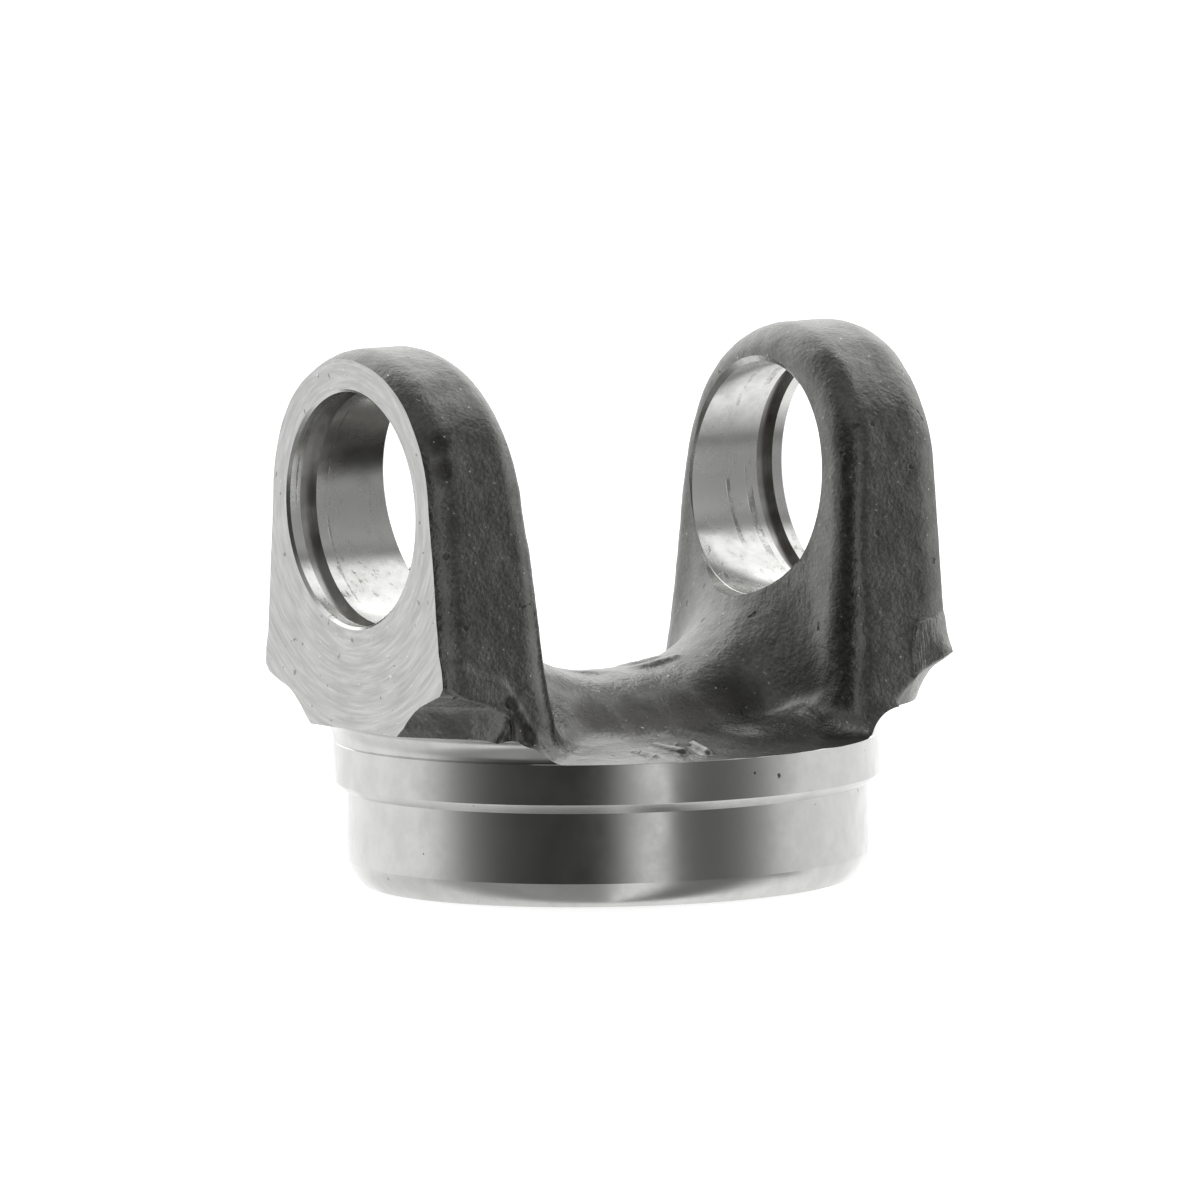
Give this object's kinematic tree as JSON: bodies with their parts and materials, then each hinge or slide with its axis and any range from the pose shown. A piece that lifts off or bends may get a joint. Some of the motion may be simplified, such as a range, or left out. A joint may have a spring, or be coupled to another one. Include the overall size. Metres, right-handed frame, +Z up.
{
  "type": "forged yoke",
  "caption": "Forged weld yoke for a driveshaft tube: ears with cross bores, a rounded saddle between them and a turned tube seat.",
  "frame": {"origin": "centre of the bottom edge of the tube end, on the shaft's axis", "axes": "+Z up along the shaft from the tube end to the ears, +X along the axis of the cross bores, +Y across the ears"},
  "size_m": [0.0816, 0.075, 0.0753],
  "materials": {
    "forged_steel": "dark forged skin, bright where it is turned, milled or bored"
  },
  "bodies": {
    "root": {"yoke": "forged_steel"}
  },
  "joints": []
}
